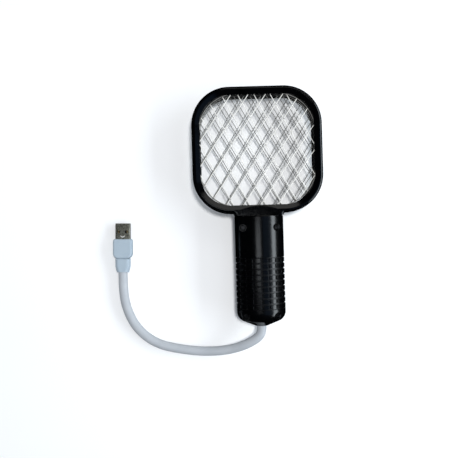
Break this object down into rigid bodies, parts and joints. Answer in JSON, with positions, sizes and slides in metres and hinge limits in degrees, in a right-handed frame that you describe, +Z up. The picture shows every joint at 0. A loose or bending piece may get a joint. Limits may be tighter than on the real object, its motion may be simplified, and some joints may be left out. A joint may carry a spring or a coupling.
{
  "type": "electric fly swatter",
  "caption": "Compact rechargeable electric fly swatter: square rounded head with wire meshes, round ribbed grip and a short flexible charging lead with a USB plug.",
  "frame": {"origin": "centre of the swatter's footprint on the table, without its lead", "axes": "+Y from the lead's exit towards the tip of the head, +Z up through the screw side of the case, +X to the right"},
  "size_m": [0.1736, 0.2186, 0.0325],
  "materials": {
    "case_plastic": "satin gloss",
    "spacer_plastic": "matte",
    "button_plastic": "gloss",
    "mesh_wire": "bright plated",
    "screw_steel": "plated",
    "lamp_resin": "clear",
    "board_laminate": "satin",
    "ferrite": "matte",
    "coil_tape": "satin",
    "capacitor_film": "gloss",
    "disc_ceramic": "satin",
    "cell_metal": "satin",
    "cell_wrap": "gloss",
    "wire_red": "satin",
    "wire_black": "satin",
    "lead_sheath": "satin",
    "plug_mould": "satin",
    "plug_metal": "nickel plated",
    "plug_insulator": "satin",
    "contact_metal": "gold plated"
  },
  "bodies": {
    "swatter": {"upper_bezel": "case_plastic", "lower_bezel": "case_plastic", "upper_spacer": "spacer_plastic", "lower_spacer": "spacer_plastic", "upper_guard_wires": "mesh_wire", "upper_guard_edge": "mesh_wire", "charged_grid_wires": "mesh_wire", "charged_grid_edge": "mesh_wire", "lower_guard_wires": "mesh_wire", "lower_guard_edge": "mesh_wire", "upper_handle_shell": "case_plastic", "lower_handle_shell": "case_plastic", "case_screws": "screw_steel", "fire_switch_body": "spacer_plastic", "button_spring": "screw_steel", "slide_switch_body": "screw_steel", "indicator_lamp": "lamp_resin", "circuit_board": "board_laminate", "transformer_core": "ferrite", "transformer_coil": "coil_tape", "film_capacitor": "capacitor_film", "disc_capacitors": "disc_ceramic", "multiplier_diodes": "spacer_plastic", "drive_transistor": "spacer_plastic", "bleed_resistor": "disc_ceramic", "battery_cell": "cell_metal", "battery_wrap": "cell_wrap", "negative_tab": "screw_steel", "positive_tab": "screw_steel", "grid_lead": "wire_red", "upper_guard_lead": "wire_black", "lower_guard_lead": "wire_black", "charge_cores": "wire_red", "lead_ferrule": "plug_metal", "lead_grommet": "case_plastic", "charging_lead": "lead_sheath", "plug_strain_relief": "plug_mould", "plug_grip": "plug_mould", "plug_shell": "plug_metal", "plug_tongue": "plug_insulator", "plug_contacts": "contact_metal"},
    "button": {"fire_button": "button_plastic", "fire_switch_plunger": "spacer_plastic"},
    "knob": {"slide_knob": "spacer_plastic"}
  },
  "joints": [
    {"name": "button_press", "type": "slide", "parent": "swatter", "child": "button", "axis": [0, 0, 1], "range_m": [0, 0.001], "stiffness_N_per_m": 300, "springref_m": -0.002, "deforming": ["button_spring"]},
    {"name": "knob_slide", "type": "slide", "parent": "swatter", "child": "knob", "axis": [0, 1, 0], "range_m": [0, 0.003]}
  ]
}
